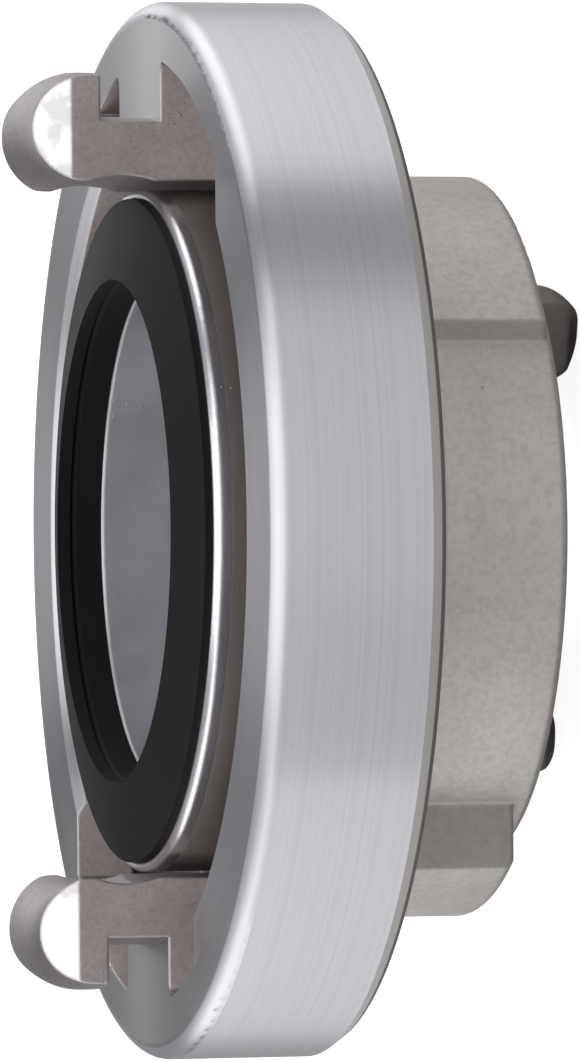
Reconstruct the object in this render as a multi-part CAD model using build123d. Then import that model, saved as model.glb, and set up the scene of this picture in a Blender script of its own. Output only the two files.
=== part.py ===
"""Two-claw quarter-turn fire hose coupling reducer: a large half whose ring turns on a cast body with a small half.

The waterway runs along Z. The small half faces down and its claw tips are at Z = 0; the large half faces up.
Each half is drawn in its own frame, with its mating face at Z = 0 and the mating part above it.
"""

import os
from types import SimpleNamespace

from build123d import *

# Large half: claws, lips and entry slots of the locking ring
large_claw_gap = 1.4  # from the seat tube to the claws' inner faces, 66 mm apart
large_claw_thickness = 9.4  # radial
large_claw_width = 16.4
large_claw_reach = 11.7  # from the mating face to the tip
large_notch_width = 5.6  # axial room for the mating lip
large_notch_depth = 4.1  # radial overlap of the hook
large_tip_round_outer = 4.9
large_tip_round_inner = 4.4
large_tip_bevel_side = 1.6
large_tip_bevel_end = 3.4
large_waist = 0.5  # shallow relief in the claw's inner face
large_entry_slot = 21.1  # from the claw's side to the start of the lip
large_stop_slot = 9.7  # from the claw's other side to the end of the lip
large_lip_edge = 0.9  # chamfer along the lip's inner edge
large_corner_round = 1.5  # where a claw's side meets the channel's wall

# Small half: the same features, cast with the body
small_claw_gap = 0.8  # the claws' inner faces are 31 mm apart
small_claw_thickness = 7.4
small_claw_width = 9.0
small_claw_reach = 7.9
small_notch_width = 3.2
small_notch_depth = 3.1
small_tip_round_outer = 2.4
small_tip_round_inner = 4.0
small_tip_bevel_side = 1.4
small_tip_bevel_end = 1.2
small_waist = 0.3
small_entry_slot = 12.0
small_stop_slot = 5.0
small_lip_edge = 0.4
small_corner_round = 0.8
small_half_turn = -13.2  # degrees, the angle at which the small claws stand to the large ones

# Running clearances between two mated halves
lip_clearance = 0.5  # lip's inner edge to the notch's floor
claw_clearance = 1.4  # claw's outer face to the channel's wall
floor_clearance = 0.7  # claw's tip to the channel's floor
ramp_start_play = 1.7  # notch wider than the lip where the claw enters
ramp_end_play = 0.2  # notch wider than the lip where it is tight

# Locking ring
ring_wall = 5.2  # outside the channel; the ring is 98 mm across
ring_web = 3.5  # floor under the channel
ring_front_round = 1.6
ring_rear_bevel_radial = 1.0
ring_rear_bevel_axial = 1.4
bore_edge = 0.5

# Large seal seat, at the end of the body's tube
large_seal_width = 5.8  # radial, of the foot in its groove
large_seat_rim = 0.8  # wall outside the seal
large_seat_proud = 0.9  # rim above the mating face
rim_edge = 0.45  # chamfer on the rim
large_seat_depth = 6.0  # floor of the seal's groove below the mating face
large_inner_wall = 1.7  # wall inside the seal
large_inner_setback = 1.3  # its edge below the mating face
large_bore_radius = 23.3
large_seal_outer_proud = 1.6
large_seal_inner_proud = 3.0

# Small seal seat
small_seal_width = 2.3
small_seat_rim = 0.8
small_seat_proud = 0.5
small_seat_depth = 4.2
small_inner_wall = 1.2
small_inner_setback = 0.6
small_bore_radius = 10.4
small_seal_outer_proud = 1.0
small_seal_inner_proud = 1.9

# Body outside
neck_wall = 6.9  # outside the small half's channel
neck_length = 16.0  # from the small mating face to the ring's shoulder
collar_height = 2.8  # the shoulder's radial height over the neck
collar_width = 1.7
pad_angle = 86.0  # degrees round the axis
low_pad_height = 1.8  # over the neck
high_pad_height = 5.0
low_pad_setback = 0.7  # end of the pad to the small mating face
high_pad_setback = 1.8
pad_side_slope = 0.6  # spread of a pad's side for each unit of its height
pad_round = 0.8
neck_edge = 0.5
taper_start = 12.0  # below the large mating face
taper_end = 24.0

# Swivel of the ring on the tube
swivel_clearance = 0.05
swivel_end_play = 0.1
snap_width = 2.0  # radial
snap_height = 1.8
snap_seat_depth = 1.1  # of the snap ring's groove
snap_clearance = 0.05
snap_edge = 0.3
snap_gap_angle = 14.0
seal_clearance = 0.05
seal_ridge = 0.3

# Radii and heights that follow
tube_radius = large_bore_radius + large_inner_wall + large_seal_width + large_seat_rim
small_seat_radius = small_bore_radius + small_inner_wall + small_seal_width + small_seat_rim
small_face_z = small_claw_reach
shoulder_z = small_face_z + neck_length
ring_z = shoulder_z + swivel_end_play
ring_width = large_claw_reach + floor_clearance + ring_web
large_face_z = ring_z + ring_width
snap_z = ring_z + ring_web + swivel_end_play

BLEND = 1.0  # how far joined solids reach into each other


def claw_half(reach, thickness, seat, gap, notch_depth, **other):
    """Collect one half's sizes with the radii and depths that follow from them."""
    inner = seat + gap
    outer = inner + thickness
    floor = outer - notch_depth
    return SimpleNamespace(
        reach=reach, seat=seat, inner=inner, outer=outer, floor=floor,
        lip_inner=floor + lip_clearance, wall=outer + claw_clearance,
        depth=reach + floor_clearance, **other,
    )


large = claw_half(
    large_claw_reach, large_claw_thickness, tube_radius, large_claw_gap, large_notch_depth,
    notch_width=large_notch_width, width=large_claw_width, round_outer=large_tip_round_outer,
    round_inner=large_tip_round_inner, bevel_side=large_tip_bevel_side, bevel_end=large_tip_bevel_end,
    waist=large_waist, entry=large_entry_slot, stop=large_stop_slot, lip_edge=large_lip_edge,
    corner_round=large_corner_round, rim=large_seat_rim, rim_proud=large_seat_proud,
    seat_depth=large_seat_depth, inner_wall=large_inner_wall, setback=large_inner_setback,
    bore=large_bore_radius, seal_outer=large_seal_outer_proud, seal_inner=large_seal_inner_proud,
)
small = claw_half(
    small_claw_reach, small_claw_thickness, small_seat_radius, small_claw_gap, small_notch_depth,
    notch_width=small_notch_width, width=small_claw_width, round_outer=small_tip_round_outer,
    round_inner=small_tip_round_inner, bevel_side=small_tip_bevel_side, bevel_end=small_tip_bevel_end,
    waist=small_waist, entry=small_entry_slot, stop=small_stop_slot, lip_edge=small_lip_edge,
    corner_round=small_corner_round, rim=small_seat_rim, rim_proud=small_seat_proud,
    seat_depth=small_seat_depth, inner_wall=small_inner_wall, setback=small_inner_setback,
    bore=small_bore_radius, seal_outer=small_seal_outer_proud, seal_inner=small_seal_inner_proud,
)
neck_radius = small.wall + neck_wall


def section_points(points):
    """Turn (radius, height) pairs into points of the XZ plane."""
    return [Vector(radius, 0, height) for radius, height in points]


def turned(points):
    """Revolve a closed outline of (radius, height) points about Z."""
    return revolve(closed_face(Polyline(*section_points(points), close=True)), Axis.Z)


def closed_face(*lines):
    """The flat face inside a closed outline, where it was drawn."""
    return Face(Wire([edge for line in lines for edge in line.edges()]))


def between(low, high, radius):
    """A disc of the given radius between two heights."""
    return Pos(0, 0, (low + high) / 2) * Cylinder(radius, high - low)


def claw(h):
    """One hooked claw along +X, from the channel's floor to its rounded and bevelled tip."""
    root = h.wall + BLEND
    waist_low, waist_high = 0.05 * h.reach, 0.95 * h.reach - h.round_inner
    hook = Polyline(*section_points([
        (h.inner, waist_low), (h.inner, -h.depth - BLEND), (root, -h.depth - BLEND), (root, 0),
        (h.floor, 0), (h.floor, h.notch_width), (h.outer, h.notch_width), (h.outer, h.reach),
        (h.inner, h.reach), (h.inner, waist_high),
    ]))
    waist = ThreePointArc(*section_points([
        (h.inner, waist_high), (h.inner + h.waist, (waist_low + waist_high) / 2), (h.inner, waist_low),
    ]))
    face = closed_face(hook, waist)
    face = fillet(face.vertices().group_by(Axis.Z)[-1].sort_by(Axis.X)[0], h.round_inner)
    face = fillet(face.vertices().sort_by(lambda v: v.Z + v.X)[-1], h.round_outer)
    sweep_angle = 60.0
    body = Rot(0, 0, -sweep_angle / 2) * revolve(face, Axis.Z, sweep_angle)
    body &= Pos(root / 2, 0, 0) * Box(root + 2, h.width, 4 * h.reach + 4 * h.depth)
    half = h.width / 2
    bevel = closed_face(Polyline(
        (0, half - h.bevel_side, h.reach), (0, half, h.reach - h.bevel_end),
        (0, half + h.bevel_side, h.reach - h.bevel_end), (0, half + h.bevel_side, h.reach + h.bevel_end),
        (0, half - h.bevel_side, h.reach + h.bevel_end), close=True,
    ))
    corner = extrude(bevel, root, dir=(1, 0, 0))
    return body - corner - mirror(corner, Plane.XZ) + root_flare(h)


def root_flare(h):
    """Hollow fillets where the claw's sides run out into the channel's wall."""
    low, half, radius = -h.depth - BLEND, h.width / 2, h.corner_round
    wall = (h.wall**2 - half**2) ** 0.5
    right = Polyline((wall - radius, half, low), (wall - radius, 0, low), (wall + BLEND, 0, low))
    left = Polyline((wall + BLEND, 0, low), (wall + BLEND, half + radius, low), (wall, half + radius, low))
    hollow = RadiusArc((wall, half + radius, low), (wall - radius, half, low), radius)
    side = extrude(closed_face(right, left, hollow), -low, dir=(0, 0, 1))
    return side + mirror(side, Plane.XZ)


def lips(h):
    """The two lips over the channel, with undersides that drop along a helix from entry to stop."""
    thin = h.notch_width - ramp_start_play
    thick = h.notch_width - ramp_end_play
    root = h.wall + BLEND
    ring = turned([
        (h.lip_inner + h.lip_edge, 0), (root, 0), (root, -thick), (h.lip_inner, -thick),
        (h.lip_inner, -h.lip_edge),
    ])
    entry = h.width / 2 + h.entry
    stop = h.width / 2 + h.stop
    slot = Pos(root / 2 + BLEND, (stop - entry) / 2, 0) * Box(root + 2 * BLEND, entry + stop, 4 * thick)
    ramp = ramp_cutter(h, thin, thick, entry, stop)
    turned_over = Rot(0, 0, 180)
    return ring - slot - turned_over * slot - ramp - turned_over * ramp


def ramp_cutter(h, thin, thick, entry, stop):
    """The room under one lip: a rectangle carried along a helix as it descends clockwise."""
    middle = (h.lip_inner + h.wall) / 2
    first = degrees_of(entry, middle)
    last = 180.0 - degrees_of(stop, middle)
    pitch = 360.0 * (thick - thin) / (last - first)
    run_on = 8.0
    span = last - first + 2 * run_on
    start_z = -thick - pitch * run_on / 360.0
    path = Helix(pitch, pitch * span / 360.0, middle)
    section = Plane(origin=path @ 0, x_dir=(1, 0, 0), z_dir=path % 0)
    block = section * Pos(0, -thick, 0) * Rectangle(h.wall - h.lip_inner + 4 * BLEND, 2 * thick)
    cutter = sweep(block, path, normal=(0, 0, 1))
    return Pos(0, 0, start_z) * Rot(0, 0, -last - run_on) * cutter


def degrees_of(offset, radius):
    """The angle whose sine is offset over radius."""
    return Vector(1, 0, 0).get_angle(Vector((radius**2 - offset**2) ** 0.5, offset, 0))


def claws_and_lips(h):
    """Everything that a half adds to its channel."""
    one = claw(h)
    return one + Rot(0, 0, 180) * one + lips(h)


def seal(h):
    """A rubber ring: a foot in the groove, a conical face and a lip that covers the inner wall."""
    foot_inner = h.bore + h.inner_wall + seal_clearance
    foot_outer = h.seat - h.rim - seal_clearance
    ridge_z = h.seal_inner / 2
    rest = -h.setback + seal_clearance
    return turned([
        (foot_inner, -h.seat_depth + seal_clearance), (foot_outer, -h.seat_depth + seal_clearance),
        (foot_outer, h.seal_outer), (h.bore, h.seal_inner), (h.bore, ridge_z + seal_ridge),
        (h.bore + seal_ridge, ridge_z), (h.bore, ridge_z - seal_ridge), (h.bore, rest),
        (foot_inner, rest),
    ])


def locking_ring():
    """The large half's ring: machined rim, web that turns on the tube, channel, claws and lips."""
    bore = tube_radius + swivel_clearance
    ring_outer_radius = large.wall + ring_wall
    blank = closed_face(Polyline(*section_points([
        (bore + bore_edge, -ring_width), (ring_outer_radius - ring_rear_bevel_radial, -ring_width),
        (ring_outer_radius, -ring_width + ring_rear_bevel_axial), (ring_outer_radius, 0), (bore, 0),
        (bore, -ring_width + bore_edge),
    ]), close=True))
    front_corner = blank.vertices().group_by(Axis.Z)[-1].sort_by(Axis.X)[-1]
    ring = revolve(fillet(front_corner, ring_front_round), Axis.Z)
    ring -= between(-large.depth, BLEND, large.wall)
    ring += claws_and_lips(large)
    return Pos(0, 0, large_face_z) * ring


def pad(height, setback):
    """One raised wrench pad along +X, from the shoulder to just before the small mating face."""
    radius = neck_radius + height
    foot = neck_radius - BLEND
    half = pad_angle / 2
    foot_half = half + degrees_of(pad_side_slope * (height + BLEND), foot)
    outline = closed_face(
        Line(polar(radius, -half), polar(foot, -foot_half)),
        ThreePointArc(polar(foot, -foot_half), polar(foot, 0), polar(foot, foot_half)),
        Line(polar(foot, foot_half), polar(radius, half)),
        ThreePointArc(polar(radius, half), polar(radius, 0), polar(radius, -half)),
    )
    low = small_face_z + setback
    block = Pos(0, 0, low) * extrude(outline, shoulder_z - low, dir=(0, 0, 1))
    end_edge = block.edges().filter_by(GeomType.CIRCLE).group_by(Axis.Z)[0].sort_by(SortBy.RADIUS)[-1]
    return fillet(end_edge, pad_round)


def polar(radius, degrees):
    """A point in the XY plane."""
    return Vector(radius, 0, 0).rotate(Axis.Z, degrees)


def seat_outline(h):
    """One half's end of the casting in section, from the bore's mouth to the outside of the seal's rim."""
    inner, outer = h.bore + h.inner_wall, h.seat - h.rim
    return [
        (h.bore, -h.setback), (inner, -h.setback), (inner, -h.seat_depth), (outer, -h.seat_depth),
        (outer, h.rim_proud), (h.seat - rim_edge, h.rim_proud), (h.seat, h.rim_proud - rim_edge),
    ]


def reducer_body():
    """The casting: tube with the large seal's seat, shoulder collar, neck with pads, small half, waterway."""
    collar_radius = neck_radius + collar_height
    groove_radius = tube_radius - snap_seat_depth
    floor_z = small_face_z + small.depth
    small_end = [(radius, small_face_z - height) for radius, height in seat_outline(small)]
    large_end = [(radius, large_face_z + height) for radius, height in seat_outline(large)]
    body = turned(small_end + [
        (small.seat, floor_z), (small.wall, floor_z), (small.wall, small_face_z),
        (neck_radius - neck_edge, small_face_z), (neck_radius, small_face_z + neck_edge),
        (neck_radius, shoulder_z - collar_width - collar_height), (collar_radius, shoulder_z - collar_width),
        (collar_radius, shoulder_z), (tube_radius, shoulder_z),
        (tube_radius, snap_z - snap_clearance), (groove_radius, snap_z - snap_clearance),
        (groove_radius, snap_z + snap_height + snap_clearance),
        (tube_radius, snap_z + snap_height + snap_clearance),
    ] + large_end[::-1] + [
        (large.bore, large_face_z - taper_start), (small.bore, large_face_z - taper_end),
    ])
    turn = Rot(0, 0, small_half_turn)
    body += turn * pad(low_pad_height, low_pad_setback)
    body += turn * Rot(0, 0, 180) * pad(high_pad_height, high_pad_setback)
    return body + Pos(0, 0, small_face_z) * turn * Rot(180, 0, 0) * claws_and_lips(small)


def retaining_ring():
    """Snap ring of bevelled flat spring steel, open at one side, that keeps the locking ring on the tube."""
    inner = tube_radius - snap_seat_depth + snap_clearance
    outer = inner + snap_width
    section = closed_face(Polyline(*section_points([
        (inner, snap_z), (outer - snap_edge, snap_z), (outer, snap_z + snap_edge),
        (outer, snap_z + snap_height - snap_edge), (outer - snap_edge, snap_z + snap_height),
        (inner, snap_z + snap_height),
    ]), close=True))
    return Rot(0, 0, snap_gap_angle / 2) * revolve(section, Axis.Z, 360 - snap_gap_angle)


nodes = {
    "reducer_body": reducer_body(),
    "locking_ring": locking_ring(),
    "retaining_ring": retaining_ring(),
    "large_seal": Pos(0, 0, large_face_z) * seal(large),
    "small_seal": Pos(0, 0, small_face_z) * Rot(180, 0, 0) * seal(small),
}

os.makedirs("parts", exist_ok=True)
for name, solid in nodes.items():
    export_step(solid, f"parts/{name}.step")
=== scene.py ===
"""Looks for a claw coupling reducer: aluminium, rubber seals, a spring steel ring and a studio."""

import math
from collections import namedtuple

import bpy
import numpy as np
from mathutils import Matrix, Vector


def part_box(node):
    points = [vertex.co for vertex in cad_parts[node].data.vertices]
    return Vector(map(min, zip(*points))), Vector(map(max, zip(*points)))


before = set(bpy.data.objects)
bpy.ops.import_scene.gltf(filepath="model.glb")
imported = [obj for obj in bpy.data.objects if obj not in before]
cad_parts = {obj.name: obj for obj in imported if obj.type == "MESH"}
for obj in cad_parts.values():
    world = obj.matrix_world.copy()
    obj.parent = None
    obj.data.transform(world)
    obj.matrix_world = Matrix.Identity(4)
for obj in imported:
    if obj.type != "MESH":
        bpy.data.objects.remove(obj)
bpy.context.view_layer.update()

bl_info = {
    "name": "Claw Coupling Looks",
    "version": (1, 0, 0),
    "blender": (4, 5, 0),
    "location": "View3D > Sidebar > Coupling",
    "description": "Materials, rubber seals and studio for a claw coupling reducer",
    "category": "Object",
}

MM = 0.001

# Heights and radii on the pieces, where one finish meets the next. Heights start at the tips of
# the small claws, on which the coupling stands, and radii at the waterway's axis.
RING_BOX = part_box("locking_ring")
BODY_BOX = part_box("reducer_body")
CLAW_REACH = 11.7 * MM
RING_FACE = RING_BOX[1][2] - CLAW_REACH
CLAW_HEAD = RING_FACE + 7.75 * MM
CHANNEL_WALL = RING_BOX[1][0] - 5.2 * MM
LIP_INNER = CHANNEL_WALL - 5.0 * MM
TUBE_RADIUS = 31.6 * MM
WATERWAY_EDGE = 23.5 * MM
SMALL_BORE_EDGE = 10.6 * MM
TAPER_FOOT = 17.1 * MM
SMALL_FACE = BODY_BOX[0][2] + 7.9 * MM
SHOULDER = BODY_BOX[0][2] + 23.9 * MM
FLOOR_HEIGHT = BODY_BOX[0][2] - 0.1 * MM

# A noise texture of scale 1 has blotches about half a metre across, so its scale is this over the
# blotches' width in metres.
BLOTCH = 0.5

# The ring's lathe lines spread light along the axis only. The export keeps constant values and
# drops linked ones, so the cast parts of the ring carry this too.
ANISOTROPY = 0.93
QUARTER_TURN = 0.25

# Widths of the blotches in each finish. They are soft and have no sharp size, so these are guesses.
CAST_BLOTCH = 5.0 * MM
PIT_PATCH = 2.2 * MM
TINT_PATCH = 14.0 * MM
FACET_SCUFF = 1.6 * MM
WATERWAY_CLOUD = 3.0 * MM
RUBBER_CLOUD = 5.0 * MM

# Depths of the relief in each finish.
CLAW_SKIN_DEPTH = 0.12 * MM
BODY_SKIN_DEPTH = 0.10 * MM
LATHE_LINE_DEPTH = 0.01 * MM
RUBBER_GRAIN_DEPTH = 0.04 * MM

# How far the level of noise past which pits show is lowered: more gives more pits.
CLAW_PITTING = 0.12
BODY_PITTING = 0.06

# Roughness of each finish, before its lines and pits roughen it and its worn edges and scuffed
# facets smooth it.
TURNED_ROUGHNESS = 0.36
CLAW_ROUGHNESS = 0.46
BODY_ROUGHNESS = 0.44
SEAT_RIM_ROUGHNESS = 0.25
RUBBER_ROUGHNESS = 0.52
STEEL_ROUGHNESS = 0.25
RUBBER_SPECULAR = 0.12

# The camera's sensor in millimetres, as the lens, and its near limit in metres.
SENSOR_HEIGHT = 24.0
CAMERA_NEAR = 0.05

# Each soft box: its centre, the way it faces, the way its width runs, its width and height, all in
# metres, and the radiance of its face.
SoftBox = namedtuple("SoftBox", "name centre faces across size radiance")
SOFT_BOXES = (
    SoftBox("box_top", (0.75, 0.41, 0.275), (-1, 0, 0), (0, 1, 0), (1.18, 0.55), 1.95),
    SoftBox("box_bottom", (-0.75, 0.18, 0.275), (1, 0, 0), (0, 1, 0), (1.5, 0.55), 1.85),
    SoftBox("box_front", (0.45, -1.3, 0.2), (-0.4, 1, -0.05), (1, 0, 0), (1.6, 0.6), 0.38),
    SoftBox("box_high", (0.0, -0.80, 0.72), (0, 0.80, -0.72), (1, 0, 0), (2.4, 0.6), 2.3),
    SoftBox("box_over", (0.0, -0.08, 1.2), (0, 0, -1), (1, 0, 0), (0.9, 0.9), 1.5),
    SoftBox("box_back", (0.42, 1.3, 0.22), (-0.42, -1.3, -0.2), (1, 0, 0), (0.7, 0.4), 1.2),
)

# Where a shaded point lies: the point, its x, y and height, its distance from the waterway's axis,
# and the upward part of its face's normal.
Place = namedtuple("Place", "point x y height radius up")


def linear(hex_colour):
    """sRGB hex to a linear colour: each channel through the sRGB curve."""
    channels = [int(hex_colour[i:i + 2], 16) / 255.0 for i in (1, 3, 5)]
    return tuple(c / 12.92 if c <= 0.04045 else ((c + 0.055) / 1.055) ** 2.4
                 for c in channels) + (1.0,)


def add(tree, kind, inputs=(), output=0, **settings):
    """Add a shader node of that kind and return one of its outputs, or all of them for None.

    inputs maps a socket's name or number to its value or to the output that is linked to it, and
    settings are the node's own properties."""
    node = tree.nodes.new("ShaderNode" + kind)
    for name, value in settings.items():
        setattr(node, name, value)
    for socket, value in dict(inputs).items():
        if isinstance(value, bpy.types.NodeSocket):
            tree.links.new(value, node.inputs[socket])
        else:
            node.inputs[socket].default_value = value
    return node.outputs if output is None else node.outputs[output]


def new_material(name):
    """An empty node material of that name, with its tree."""
    material = bpy.data.materials.new(name)
    material.use_nodes = True
    material.node_tree.nodes.clear()
    return material, material.node_tree


def find_place(tree):
    """Where the shaded point lies, from Object coordinates."""
    point = add(tree, "TexCoord", output="Object")
    x, y, height = add(tree, "SeparateXYZ", {0: point}, None)
    flat = add(tree, "CombineXYZ", {0: x, 1: y})
    radius = add(tree, "VectorMath", {0: flat}, "Value", operation="LENGTH")
    facing = add(tree, "NewGeometry", output="True Normal")
    return Place(point, x, y, height, radius, add(tree, "SeparateXYZ", {0: facing}, None)[2])


def mask(tree, *bands):
    """The product of smooth steps. Each band is (value, start, end): 0 at start and 1 at end."""
    product = None
    for value, start, end in bands:
        rise = add(tree, "MapRange", {"Value": value, "From Min": start, "From Max": end},
                   interpolation_type="SMOOTHSTEP")
        product = rise if product is None else add(tree, "Math", {0: product, 1: rise},
                                                   operation="MULTIPLY")
    return product


def coats(tree, colour, *layers):
    """Lay coats over a colour. Each coat is (where, strength, colour), and lies over the last."""
    for where, strength, coat in layers:
        cover = add(tree, "Math", {0: where, 1: strength}, operation="MULTIPLY")
        colour = add(tree, "Mix", {0: cover, 6: colour, 7: coat}, 2, data_type="RGBA")
    return colour


def cast_skin(tree, point, light, middle, dark, grain, pits, pitting):
    """Cast skin: soft blotches, fine grain and small pits, which lie in some patches only.

    Returns its colour, its height and where the pits are."""
    blotch = add(tree, "TexNoise", {"Vector": point, "Scale": BLOTCH / CAST_BLOTCH, "Detail": 5.0,
                                    "Roughness": 0.62}, "Fac")
    fine = add(tree, "TexNoise", {"Vector": point, "Scale": BLOTCH / grain, "Detail": 3.0,
                                  "Roughness": 0.65}, "Fac")
    speck = add(tree, "TexVoronoi", {"Vector": point, "Scale": 1.0 / pits}, "Distance")
    rare = add(tree, "TexNoise", {"Vector": point, "Scale": BLOTCH / PIT_PATCH, "Detail": 2.0,
                                  "Roughness": 0.55}, "Fac")
    pit = mask(tree, (speck, 0.34, 0.10), (rare, 0.72 - pitting, 0.82 - pitting))
    colour = coats(tree, middle,
                   (mask(tree, (blotch, 0.25, 0.75)), 1.0, light),
                   (mask(tree, (fine, 0.62, 0.30)), 0.22, dark),
                   (pit, 0.55, dark))
    half_grain = add(tree, "Math", {0: fine, 1: 0.5}, operation="MULTIPLY")
    return colour, add(tree, "Math", {0: half_grain, 1: pit}, operation="SUBTRACT"), pit


def lathe_lines(tree, at, pitch):
    """Lathe lines: noise that changes only across the tool's path, with radius and height.

    Returns its value: 0.6 of the fine lines and 0.4 of bands seven times as wide."""
    across = add(tree, "CombineXYZ", {0: at.radius, 1: at.height})
    fine = add(tree, "TexNoise", {"Vector": across, "Scale": BLOTCH / pitch, "Detail": 2.0,
                                  "Roughness": 0.6}, "Fac")
    broad = add(tree, "TexNoise", {"Vector": across, "Scale": BLOTCH / (7.0 * pitch),
                                   "Detail": 2.0, "Roughness": 0.5}, "Fac")
    fine_part = add(tree, "Math", {0: fine, 1: 0.6}, operation="MULTIPLY")
    return add(tree, "Math", {0: broad, 1: 0.4, 2: fine_part}, operation="MULTIPLY_ADD")


def round_edges(tree, radius):
    """Normals that round the edges by that radius, the modelled normals, and where the edges are.

    An edge is where the rounded normal turns away from the modelled one."""
    soft = add(tree, "Bevel", {"Radius": radius}, samples=6)
    sharp = add(tree, "NewGeometry", output="Normal")
    same = add(tree, "VectorMath", {0: soft, 1: sharp}, "Value", operation="DOT_PRODUCT")
    return soft, sharp, mask(tree, (same, 0.985, 0.90))


def ring_aluminium(colours, sizes):
    """Aluminium casting with a turned rim and front; claws, lips and channel keep the cast skin.

    The turned rim has fine lines round the axis. The cast skin is a dull brownish grey with
    pits. One material holds both, because both are one piece of metal."""
    material, tree = new_material("turned_and_cast_aluminium")
    at = find_place(tree)
    soft, sharp, worn_and_lit = round_edges(tree, sizes.claw_edge)
    soft_y = add(tree, "SeparateXYZ", {0: soft}, None)[1]
    soft_y = add(tree, "Math", {0: soft_y}, operation="ABSOLUTE")

    rim = mask(tree, (at.radius, CHANNEL_WALL + 0.05 * MM, CHANNEL_WALL + 0.15 * MM))
    face = mask(tree, (at.up, 0.90, 0.97),
                (at.height, RING_FACE - 0.15 * MM, RING_FACE - 0.05 * MM),
                (at.height, RING_FACE + 0.15 * MM, RING_FACE + 0.05 * MM))
    facet = mask(tree, (at.height, CLAW_HEAD - 0.15 * MM, CLAW_HEAD + 0.15 * MM),
                 (at.up, 0.2, 0.3), (soft_y, 0.70, 0.86))
    lip_chamfer = mask(tree, (at.radius, LIP_INNER + 1.2 * MM, LIP_INNER + 1.0 * MM),
                       (at.height, RING_FACE - 1.5 * MM, RING_FACE - 1.3 * MM),
                       (at.height, RING_FACE + 0.3 * MM, RING_FACE + 0.1 * MM),
                       (at.up, 0.5, 0.6))
    rear_bevel = mask(tree, (at.up, -0.25, -0.45),
                      (at.height, SHOULDER + 3.0 * MM, SHOULDER + 2.5 * MM))
    below_rim = mask(tree, (at.up, -0.95, -0.85),
                     (at.height, SHOULDER + 0.60 * MM, SHOULDER + 0.45 * MM))
    # Painted shade: a dark line along the rim's rounded rear edge.
    rear_edge_shade = add(tree, "Math", {0: rim, 1: below_rim}, operation="MULTIPLY")
    turned = add(tree, "Math", {0: rim, 1: face}, operation="MAXIMUM")
    cut = add(tree, "Math", {0: facet, 1: lip_chamfer}, operation="MAXIMUM")
    machined = add(tree, "Math", {0: turned, 1: cut}, operation="MAXIMUM")

    lines = lathe_lines(tree, at, sizes.ring_lines)
    tint = add(tree, "TexNoise", {"Vector": at.point, "Scale": BLOTCH / TINT_PATCH,
                                  "Detail": 1.0, "Roughness": 0.55}, "Fac")
    scuffs = add(tree, "TexNoise", {"Vector": at.point, "Scale": BLOTCH / FACET_SCUFF,
                                    "Detail": 4.0, "Roughness": 0.55}, "Fac")
    facets = coats(tree, colours.facet,
                   (mask(tree, (scuffs, 0.50, 0.62)), 0.5, colours.facet_scuffed))
    metal = coats(tree, colours.turned_cool,
                  (tint, 1.0, colours.turned_warm),
                  # Painted shade: the flat front is laid over with a darker grey.
                  (face, 0.75, colours.ring_face_shade),
                  (mask(tree, (lines, 0.6, 0.4)), 0.12, colours.line_shade),
                  (rear_bevel, 0.8, colours.rear_bevel),
                  (rear_edge_shade, 0.8, colours.rear_edge_shade),
                  (facet, 1.0, facets))
    skin, relief, pit = cast_skin(tree, at.point, colours.claw_light, colours.claw_middle,
                                  colours.claw_dark, sizes.claw_grain, sizes.claw_pits,
                                  CLAW_PITTING)
    # Edges and inside corners are lightened: partly wear, partly painted highlight.
    skin = coats(tree, skin, (worn_and_lit, 0.65, colours.claw_worn_and_lit))
    colour = coats(tree, skin, (machined, 1.0, metal))

    rough_lines = add(tree, "Math", {0: lines, 1: 0.10, 2: TURNED_ROUGHNESS},
                      operation="MULTIPLY_ADD")
    rough_turned = add(tree, "Math", {0: facet, 1: -0.16, 2: rough_lines},
                       operation="MULTIPLY_ADD")
    rough_pits = add(tree, "Math", {0: pit, 1: 0.2, 2: CLAW_ROUGHNESS},
                     operation="MULTIPLY_ADD")
    rough_cast = add(tree, "Math", {0: worn_and_lit, 1: -0.14, 2: rough_pits}, operation="MULTIPLY_ADD")
    roughness = add(tree, "Mix", {0: machined, 2: rough_cast, 3: rough_turned})

    # The turned surfaces keep the modelled normals, because the solid already rounds their edges.
    normal = add(tree, "Mix", {0: turned, 4: soft, 5: sharp}, 1, data_type="VECTOR")
    skin_share = add(tree, "Math", {0: machined, 1: -0.55, 2: 0.55}, operation="MULTIPLY_ADD")
    line_share = add(tree, "Math", {0: machined, 1: 0.10}, operation="MULTIPLY")
    normal = add(tree, "Bump", {"Strength": skin_share, "Distance": CLAW_SKIN_DEPTH,
                                "Height": relief, "Normal": normal})
    normal = add(tree, "Bump", {"Strength": line_share, "Distance": LATHE_LINE_DEPTH,
                                "Height": lines, "Normal": normal})
    tangent = add(tree, "Tangent", direction_type="RADIAL", axis="Z")
    shader = add(tree, "BsdfPrincipled", {
        "Base Color": colour, "Metallic": 1.0, "Roughness": roughness, "Anisotropic": ANISOTROPY,
        "Anisotropic Rotation": QUARTER_TURN, "Tangent": tangent, "Normal": normal})
    add(tree, "OutputMaterial", {"Surface": shader}, None)
    return material


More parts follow.
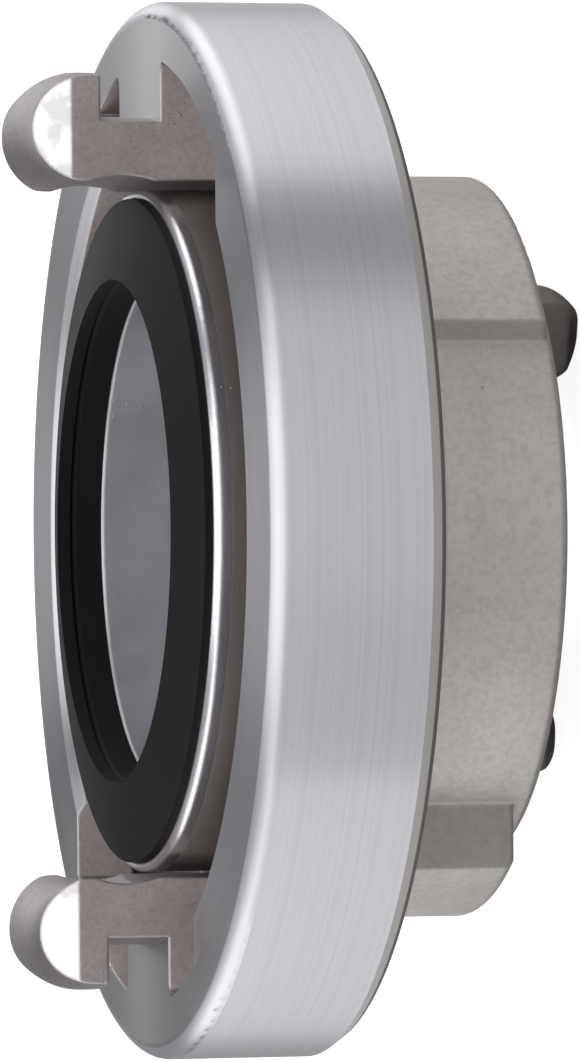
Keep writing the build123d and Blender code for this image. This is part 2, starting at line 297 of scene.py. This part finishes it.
def body_aluminium(colours, sizes):
    """Aluminium casting, tumbled with stones: a soft beige grey with blotches and few pits.

    The rim of the large seal's seat is turned bright, and the waterway is a cooler grey."""
    material, tree = new_material("tumbled_cast_aluminium")
    at = find_place(tree)
    soft, _, worn_and_lit = round_edges(tree, sizes.body_edge)
    soft_x, soft_y, _ = add(tree, "SeparateXYZ", {0: soft}, None)

    seat_rim = mask(tree, (at.radius, TUBE_RADIUS - 1.2 * MM, TUBE_RADIUS - 1.1 * MM),
                    (at.height, RING_FACE - 0.9 * MM, RING_FACE - 0.6 * MM))
    wide_end = mask(tree, (at.radius, WATERWAY_EDGE + 0.1 * MM, WATERWAY_EDGE - 0.1 * MM),
                    (at.height, TAPER_FOOT - 0.1 * MM, TAPER_FOOT + 0.1 * MM))
    small_end = mask(tree, (at.radius, SMALL_BORE_EDGE + 0.1 * MM, SMALL_BORE_EDGE - 0.1 * MM))
    waterway = add(tree, "Math", {0: wide_end, 1: small_end}, operation="MAXIMUM")
    # Painted shade on the tube's outside, deep inside the ring.
    tube = mask(tree, (at.radius, TUBE_RADIUS - 0.3 * MM, TUBE_RADIUS - 0.1 * MM),
                (at.height, RING_FACE - 13.0 * MM, RING_FACE - 12.5 * MM))

    # The sides of the pads carry painted shade, and so do the small claws. A pad's side faces along
    # the circle, so little of its normal points away from the axis: outward is the share that does.
    along_y = add(tree, "Math", {0: soft_y, 1: at.y}, operation="MULTIPLY")
    along = add(tree, "Math", {0: soft_x, 1: at.x, 2: along_y}, operation="MULTIPLY_ADD")
    outward = add(tree, "Math", {0: along, 1: at.radius}, operation="DIVIDE")
    slope = add(tree, "Math", {0: at.up}, operation="ABSOLUTE")
    pad_side = mask(tree, (outward, 0.90, 0.75), (slope, 0.6, 0.4),
                    (at.radius, TUBE_RADIUS - 4.0 * MM, TUBE_RADIUS - 3.0 * MM),
                    (at.height, SHOULDER - 1.7 * MM, SHOULDER - 2.0 * MM))
    small_claws = mask(tree, (at.height, SMALL_FACE + 0.1 * MM, SMALL_FACE - 0.1 * MM))
    side_shade = add(tree, "Math", {0: pad_side, 1: 0.38}, operation="MULTIPLY")
    claw_shade = add(tree, "Math", {0: small_claws, 1: 0.6}, operation="MULTIPLY")
    shade = add(tree, "Math", {0: side_shade, 1: claw_shade}, operation="MAXIMUM")

    skin, relief, pit = cast_skin(tree, at.point, colours.body_light, colours.body_middle,
                                  colours.body_dark, sizes.body_grain, sizes.body_pits,
                                  BODY_PITTING)
    cloud = add(tree, "TexNoise", {"Vector": at.point, "Scale": BLOTCH / WATERWAY_CLOUD,
                                   "Detail": 4.0, "Roughness": 0.55}, "Fac")
    inside = coats(tree, colours.waterway_dark, (cloud, 1.0, colours.waterway_light))
    colour = coats(tree, skin,
                   (waterway, 1.0, inside),
                   (tube, 1.0, colours.tube),
                   (shade, 1.0, colours.body_shade),
                   # Edges and inside corners are lightened: partly wear, partly painted highlight.
                   (worn_and_lit, 0.4, colours.body_worn_and_lit),
                   (seat_rim, 1.0, colours.seat_rim))

    rough_pits = add(tree, "Math", {0: pit, 1: 0.2, 2: BODY_ROUGHNESS},
                     operation="MULTIPLY_ADD")
    roughness = add(tree, "Mix", {0: seat_rim, 2: rough_pits, 3: SEAT_RIM_ROUGHNESS})
    normal = add(tree, "Bump", {"Strength": 0.4, "Distance": BODY_SKIN_DEPTH, "Height": relief,
                                "Normal": soft})
    shader = add(tree, "BsdfPrincipled", {
        "Base Color": colour, "Metallic": 1.0, "Roughness": roughness, "Normal": normal})
    add(tree, "OutputMaterial", {"Surface": shader}, None)
    return material


def seal_rubber(colours, sizes):
    """Moulded black rubber: matt dark grey with a faint bloom and the fine grain of its mould."""
    material, tree = new_material("black_rubber")
    at = find_place(tree)
    bloom = add(tree, "TexNoise", {"Vector": at.point, "Scale": BLOTCH / RUBBER_CLOUD,
                                   "Detail": 3.0, "Roughness": 0.55}, "Fac")
    grain = add(tree, "TexNoise", {"Vector": at.point, "Scale": BLOTCH / sizes.rubber_grain,
                                   "Detail": 2.0, "Roughness": 0.55}, "Fac")
    colour = coats(tree, colours.rubber, (bloom, 0.6, colours.rubber_bloom))
    roughness = add(tree, "Math", {0: bloom, 1: 0.12, 2: RUBBER_ROUGHNESS},
                    operation="MULTIPLY_ADD")
    normal = add(tree, "Bump", {"Strength": 0.25, "Distance": RUBBER_GRAIN_DEPTH,
                                "Height": grain})
    shader = add(tree, "BsdfPrincipled", {
        "Base Color": colour, "Roughness": roughness,
        "Specular IOR Level": RUBBER_SPECULAR, "Normal": normal})
    add(tree, "OutputMaterial", {"Surface": shader}, None)
    return material


def spring_steel(colours, sizes):
    """Blued flat spring steel: a dark grey with drawing lines along it."""
    material, tree = new_material("blued_spring_steel")
    lines = lathe_lines(tree, find_place(tree), sizes.steel_lines)
    colour = coats(tree, colours.steel_dark, (lines, 1.0, colours.steel_light))
    roughness = add(tree, "Math", {0: lines, 1: 0.2, 2: STEEL_ROUGHNESS},
                    operation="MULTIPLY_ADD")
    shader = add(tree, "BsdfPrincipled", {
        "Base Color": colour, "Metallic": 1.0, "Roughness": roughness})
    add(tree, "OutputMaterial", {"Surface": shader}, None)
    return material


def dress(name, material):
    """Put a material on a CAD node's slots."""
    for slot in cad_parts[name].material_slots:
        slot.material = material


def hex_property(name, description, hex_colour):
    """A colour that a user can change, with its default given as sRGB hex."""
    return bpy.props.FloatVectorProperty(name=name, description=description, subtype="COLOR",
                                         size=4, min=0.0, max=1.0, default=linear(hex_colour))


class CouplingColours(bpy.types.PropertyGroup):
    """Colours of the metal, the rubber and the studio."""

    turned_cool: hex_property("Turned cool", "Turned aluminium, cool side of its tint", "#cfcfd6")
    turned_warm: hex_property("Turned warm", "Turned aluminium, warm side of its tint", "#d6d3d6")
    # Painted shade on the flat front of the ring.
    ring_face_shade: hex_property("Ring face", "Flat front of the ring", "#8c8a8d")
    line_shade: hex_property("Line shade", "Bottoms of the lathe lines", "#7c7b80")
    rear_bevel: hex_property("Rear bevel", "Bevel at the back of the ring", "#d4cfcd")
    # Painted shade: a dark line along the rim's rounded rear edge.
    rear_edge_shade: hex_property("Rear edge", "Dark line at the ring's rear edge", "#4c4745")
    facet: hex_property("Facet", "Flat facets on the claws' heads", "#b2b0b2")
    facet_scuffed: hex_property("Scuffed facet", "Scuffs on those facets", "#8a8788")
    claw_light: hex_property("Claw light", "Cast skin of the claws, light blotches", "#b0a7a6")
    claw_middle: hex_property("Claw middle", "Cast skin of the claws", "#9c9392")
    claw_dark: hex_property("Claw dark", "Pits and deep places of the claws", "#665d5a")
    # Partly wear, partly painted highlight, along edges and inside corners.
    claw_worn_and_lit: hex_property("Claw worn", "Worn edges of the claws", "#c4c2c4")
    body_light: hex_property("Body light", "Cast skin of the body, light blotches", "#e4deda")
    body_middle: hex_property("Body middle", "Cast skin of the body", "#d8d2ce")
    body_dark: hex_property("Body dark", "Pits and deep places of the body", "#989290")
    # Partly wear, partly painted highlight, along edges and inside corners.
    body_worn_and_lit: hex_property("Body worn", "Worn edges of the body", "#cfcbc8")
    # Painted shade on the sides of the pads and on the small claws.
    body_shade: hex_property("Body shade", "Sides of the pads, and the small claws", "#5c5653")
    # Painted shade on the tube's outside, deep inside the ring.
    tube: hex_property("Tube", "Outside of the tube inside the ring", "#a39b98")
    seat_rim: hex_property("Seat rim", "Turned rim round the large seal", "#e4e4e9")
    waterway_dark: hex_property("Waterway dark", "Waterway, dark clouds", "#a0a0a4")
    waterway_light: hex_property("Waterway light", "Waterway, light clouds", "#cfcfd4")
    rubber: hex_property("Rubber", "Both seals", "#0d0b0c")
    rubber_bloom: hex_property("Rubber bloom", "Greyer clouds on the rubber", "#201a1c")
    steel_dark: hex_property("Steel dark", "Spring steel, dark lines", "#4a4a4c")
    steel_light: hex_property("Steel light", "Spring steel, light lines", "#75757a")
    paper: hex_property("Paper", "Floor, as the metal and the lamps see it", "#a8a8a8")
    room: hex_property("Room", "Light of the room", "#f6f7fa")
    white: hex_property("White", "Background, as the camera sees it", "#ffffff")


class CouplingSizes(bpy.types.PropertyGroup):
    """Sizes of the finishes."""

    claw_edge: bpy.props.FloatProperty(
        name="Claw edge", description="Radius of the worn edges of the ring's cast parts",
        default=0.45 * MM, unit="LENGTH")
    body_edge: bpy.props.FloatProperty(
        name="Body edge", description="Radius of the tumbled edges of the body",
        default=0.6 * MM, unit="LENGTH")
    claw_grain: bpy.props.FloatProperty(
        name="Claw grain", description="Width of the grain in the ring's cast skin",
        default=0.25 * MM, unit="LENGTH")
    body_grain: bpy.props.FloatProperty(
        name="Body grain", description="Width of the grain in the body's cast skin",
        default=0.35 * MM, unit="LENGTH")
    claw_pits: bpy.props.FloatProperty(
        name="Claw pits", description="Spacing of the pits in the ring's cast skin",
        default=0.40 * MM, unit="LENGTH")
    body_pits: bpy.props.FloatProperty(
        name="Body pits", description="Spacing of the pits in the body's cast skin",
        default=0.6 * MM, unit="LENGTH")
    ring_lines: bpy.props.FloatProperty(
        name="Ring lines", description="Width of the lathe lines on the ring",
        default=0.16 * MM, unit="LENGTH")
    steel_lines: bpy.props.FloatProperty(
        name="Steel lines", description="Width of the drawing lines on the spring steel",
        default=0.10 * MM, unit="LENGTH")
    rubber_grain: bpy.props.FloatProperty(
        name="Rubber grain", description="Width of the grain that the mould leaves",
        default=0.18 * MM, unit="LENGTH")


class CouplingStudio(bpy.types.PropertyGroup):
    """Camera, room and floor."""

    elevation: bpy.props.FloatProperty(
        name="Camera elevation", description="Angle of view over the front face's plane",
        default=math.radians(14.25), subtype="ANGLE")
    azimuth: bpy.props.FloatProperty(
        name="Camera turn", description="Angle round the waterway's axis",
        default=math.radians(-1.2), subtype="ANGLE")
    roll: bpy.props.FloatProperty(
        name="Camera roll", description="Clockwise turn about the line of sight",
        default=math.radians(0.3), subtype="ANGLE")
    distance: bpy.props.FloatProperty(
        name="Camera distance", description="From the camera to the aim",
        default=0.750, unit="LENGTH")
    aim_height: bpy.props.FloatProperty(
        name="Aim height", description="Height on the waterway's axis that the camera looks at",
        default=25.9 * MM, unit="LENGTH")
    lens: bpy.props.FloatProperty(
        name="Lens", description="Focal length of the camera", default=182.2, unit="CAMERA")
    room_light: bpy.props.FloatProperty(
        name="Room light", description="Strength of the room's light", default=0.35)
    floor_glow: bpy.props.FloatProperty(
        name="Floor glow", description="Strength that whitens the floor for the camera only",
        default=0.90)
    floor_size: bpy.props.FloatProperty(
        name="Floor size", description="Width of the floor", default=8.0, unit="LENGTH")


class COUPLING_OT_ring(bpy.types.Operator):
    """Dress the locking ring and the retaining ring."""

    bl_idname = "coupling.ring"
    bl_label = "Dress Locking Ring"

    def execute(self, context):
        scene = context.scene
        dress("locking_ring", ring_aluminium(scene.coupling_colours, scene.coupling_sizes))
        dress("retaining_ring", spring_steel(scene.coupling_colours, scene.coupling_sizes))
        return {"FINISHED"}


class COUPLING_OT_body(bpy.types.Operator):
    """Dress the reducer's body."""

    bl_idname = "coupling.body"
    bl_label = "Dress Body"

    def execute(self, context):
        scene = context.scene
        dress("reducer_body", body_aluminium(scene.coupling_colours, scene.coupling_sizes))
        return {"FINISHED"}


class COUPLING_OT_seals(bpy.types.Operator):
    """Dress both seals."""

    bl_idname = "coupling.seals"
    bl_label = "Dress Seals"

    def execute(self, context):
        rubber = seal_rubber(context.scene.coupling_colours, context.scene.coupling_sizes)
        dress("large_seal", rubber)
        dress("small_seal", rubber)
        return {"FINISHED"}


def grid_mesh(name, points):
    """A mesh from a (rows, columns, 3) array of points: each cell of the grid is one quad."""
    rows, columns = points.shape[:2]
    index = np.arange(rows * columns).reshape(rows, columns)
    low, high = index[:-1], index[1:]
    quads = np.stack([low[:, :-1], low[:, 1:], high[:, 1:], high[:, :-1]], -1)
    mesh = bpy.data.meshes.new(name)
    mesh.from_pydata(points.reshape(-1, 3).tolist(), [], quads.reshape(-1, 4).tolist())
    mesh.polygons.foreach_set("use_smooth", np.ones(len(mesh.polygons), dtype=bool))
    mesh.validate()
    mesh.update()
    return mesh


def paper_material(colours, glow):
    """Grey paper for the floor, which takes a soft shadow. It glows white for the camera only."""
    material, tree = new_material("white_paper")
    paper = add(tree, "BsdfDiffuse", {"Color": colours.paper})
    camera_ray = add(tree, "LightPath", output="Is Camera Ray")
    lit = add(tree, "Emission", {"Color": colours.white, "Strength": glow})
    dark = add(tree, "Emission", {"Strength": 0.0})
    shown = add(tree, "MixShader", {0: camera_ray, 1: dark, 2: lit})
    both = add(tree, "AddShader", {0: paper, 1: shown})
    add(tree, "OutputMaterial", {"Surface": both}, None)
    return material


def add_floor(colours, studio):
    """A flat floor just under the small claws: a grid of equal squares."""
    half = studio.floor_size / 2
    edge = np.linspace(-half, half, 9)
    x, y = np.meshgrid(edge, edge, indexing="ij")
    mesh = grid_mesh("floor", np.stack([x, y, np.full_like(x, FLOOR_HEIGHT)], -1))
    mesh.materials.append(paper_material(colours, studio.floor_glow))
    floor = bpy.data.objects.new("floor", mesh)
    bpy.context.collection.objects.link(floor)


def add_room(colours, strength):
    """A plain grey room, white where the camera sees it."""
    world = bpy.data.worlds.new("studio")
    world.use_nodes = True
    tree = world.node_tree
    tree.nodes.clear()
    room = add(tree, "Background", {"Color": colours.room, "Strength": strength})
    white = add(tree, "Background", {"Color": colours.white, "Strength": 1.0})
    camera_ray = add(tree, "LightPath", output="Is Camera Ray")
    light = add(tree, "MixShader", {0: camera_ray, 1: room, 2: white})
    add(tree, "OutputWorld", {"Surface": light}, None)
    bpy.context.scene.world = world


def add_soft_box(box):
    """An area lamp. Its power is pi times its area times the radiance of its face."""
    data = bpy.data.lights.new(box.name, "AREA")
    data.shape = "RECTANGLE"
    data.size, data.size_y = box.size
    data.energy = box.radiance * math.pi * box.size[0] * box.size[1]
    back = -Vector(box.faces).normalized()
    right = Vector(box.across).normalized()
    turn = Matrix((right, back.cross(right), back)).transposed().to_4x4()
    lamp = bpy.data.objects.new(box.name, data)
    lamp.matrix_world = Matrix.Translation(box.centre) @ turn
    lamp.visible_camera = False
    bpy.context.collection.objects.link(lamp)


def add_camera(studio):
    """A camera that lies on its side: the top of its view is the +X side of the coupling.

    It looks at a point on the waterway's axis from the -Y side, raised by the elevation, rolled,
    and then turned round the axis."""
    aim = Vector((0.0, 0.0, studio.aim_height))
    back = Vector((0, -math.cos(studio.elevation), math.sin(studio.elevation)))
    level = Vector((0, -math.sin(studio.elevation), -math.cos(studio.elevation)))
    across = Vector((1, 0, 0))
    right = level * math.cos(studio.roll) - across * math.sin(studio.roll)
    up = across * math.cos(studio.roll) + level * math.sin(studio.roll)
    look = Matrix((right, up, back)).transposed().to_4x4()
    data = bpy.data.cameras.new("camera")
    data.sensor_fit = "VERTICAL"
    data.sensor_height = SENSOR_HEIGHT
    data.lens = studio.lens
    data.clip_start = CAMERA_NEAR
    camera = bpy.data.objects.new("camera", data)
    camera.matrix_world = (Matrix.Rotation(studio.azimuth, 4, "Z")
                           @ Matrix.Translation(aim + back * studio.distance) @ look)
    bpy.context.collection.objects.link(camera)
    bpy.context.scene.camera = camera


class COUPLING_OT_stage(bpy.types.Operator):
    """Build the floor, the room, the soft boxes and the camera."""

    bl_idname = "coupling.stage"
    bl_label = "Build Stage"

    def execute(self, context):
        colours, studio = context.scene.coupling_colours, context.scene.coupling_studio
        add_floor(colours, studio)
        add_room(colours, studio.room_light)
        for box in SOFT_BOXES:
            add_soft_box(box)
        add_camera(studio)
        context.scene.view_settings.view_transform = "Standard"
        return {"FINISHED"}


GROUPS = {
    "coupling_colours": CouplingColours,
    "coupling_sizes": CouplingSizes,
    "coupling_studio": CouplingStudio,
}
OPERATORS = (COUPLING_OT_ring, COUPLING_OT_body, COUPLING_OT_seals, COUPLING_OT_stage)


class COUPLING_PT_panel(bpy.types.Panel):
    """The coupling's pieces, its stage and their settings."""

    bl_idname = "COUPLING_PT_panel"
    bl_label = "Claw Coupling"
    bl_space_type = "VIEW_3D"
    bl_region_type = "UI"
    bl_category = "Coupling"

    def draw(self, context):
        for operator in OPERATORS:
            self.layout.operator(operator.bl_idname)
        for group, cls in GROUPS.items():
            for name in cls.__annotations__:
                self.layout.prop(getattr(context.scene, group), name)


CLASSES = tuple(GROUPS.values()) + OPERATORS + (COUPLING_PT_panel,)


def register():
    for cls in CLASSES:
        bpy.utils.register_class(cls)
    for group, cls in GROUPS.items():
        setattr(bpy.types.Scene, group, bpy.props.PointerProperty(type=cls))


def unregister():
    for group in GROUPS:
        delattr(bpy.types.Scene, group)
    for cls in reversed(CLASSES):
        bpy.utils.unregister_class(cls)


def main():
    register()
    bpy.ops.coupling.ring()
    bpy.ops.coupling.body()
    bpy.ops.coupling.seals()
    bpy.ops.coupling.stage()


if __name__ == "__main__":
    main()
